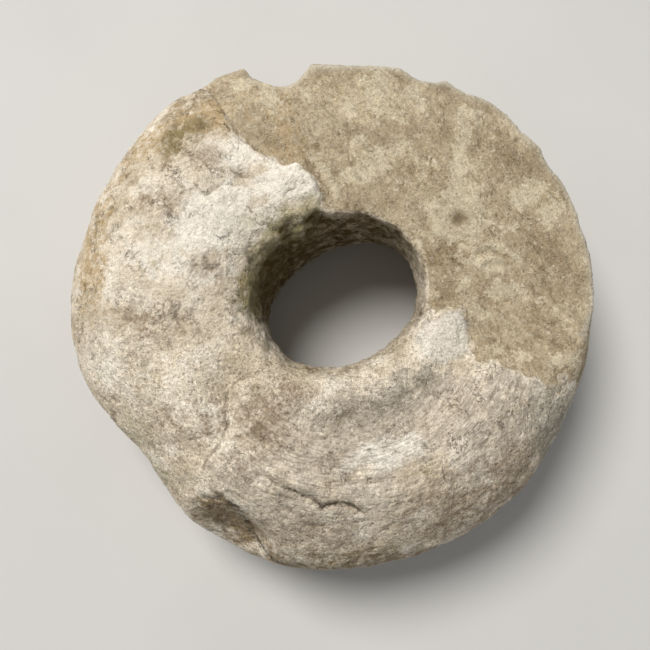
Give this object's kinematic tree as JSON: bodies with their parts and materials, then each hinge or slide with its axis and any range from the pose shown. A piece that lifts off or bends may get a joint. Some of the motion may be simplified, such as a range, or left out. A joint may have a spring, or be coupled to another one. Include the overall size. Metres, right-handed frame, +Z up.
{
  "type": "stone spindle whorl",
  "caption": "Thick perforated stone ring, worn round and pecked, with one large flat break across its upper side. Its hole takes a spindle shaft.",
  "frame": {"origin": "on the rest plane, under the middle of the ring's bounding box", "axes": "+Z up through the hole, +Y towards the notch in the edge, +X towards the broken side"},
  "size_m": [0.0902, 0.0862, 0.0351],
  "materials": {
    "stone": "matt weathered limestone, pale worn skin and a browner broken face"
  },
  "bodies": {
    "root": {"whorl": "stone"}
  },
  "joints": []
}
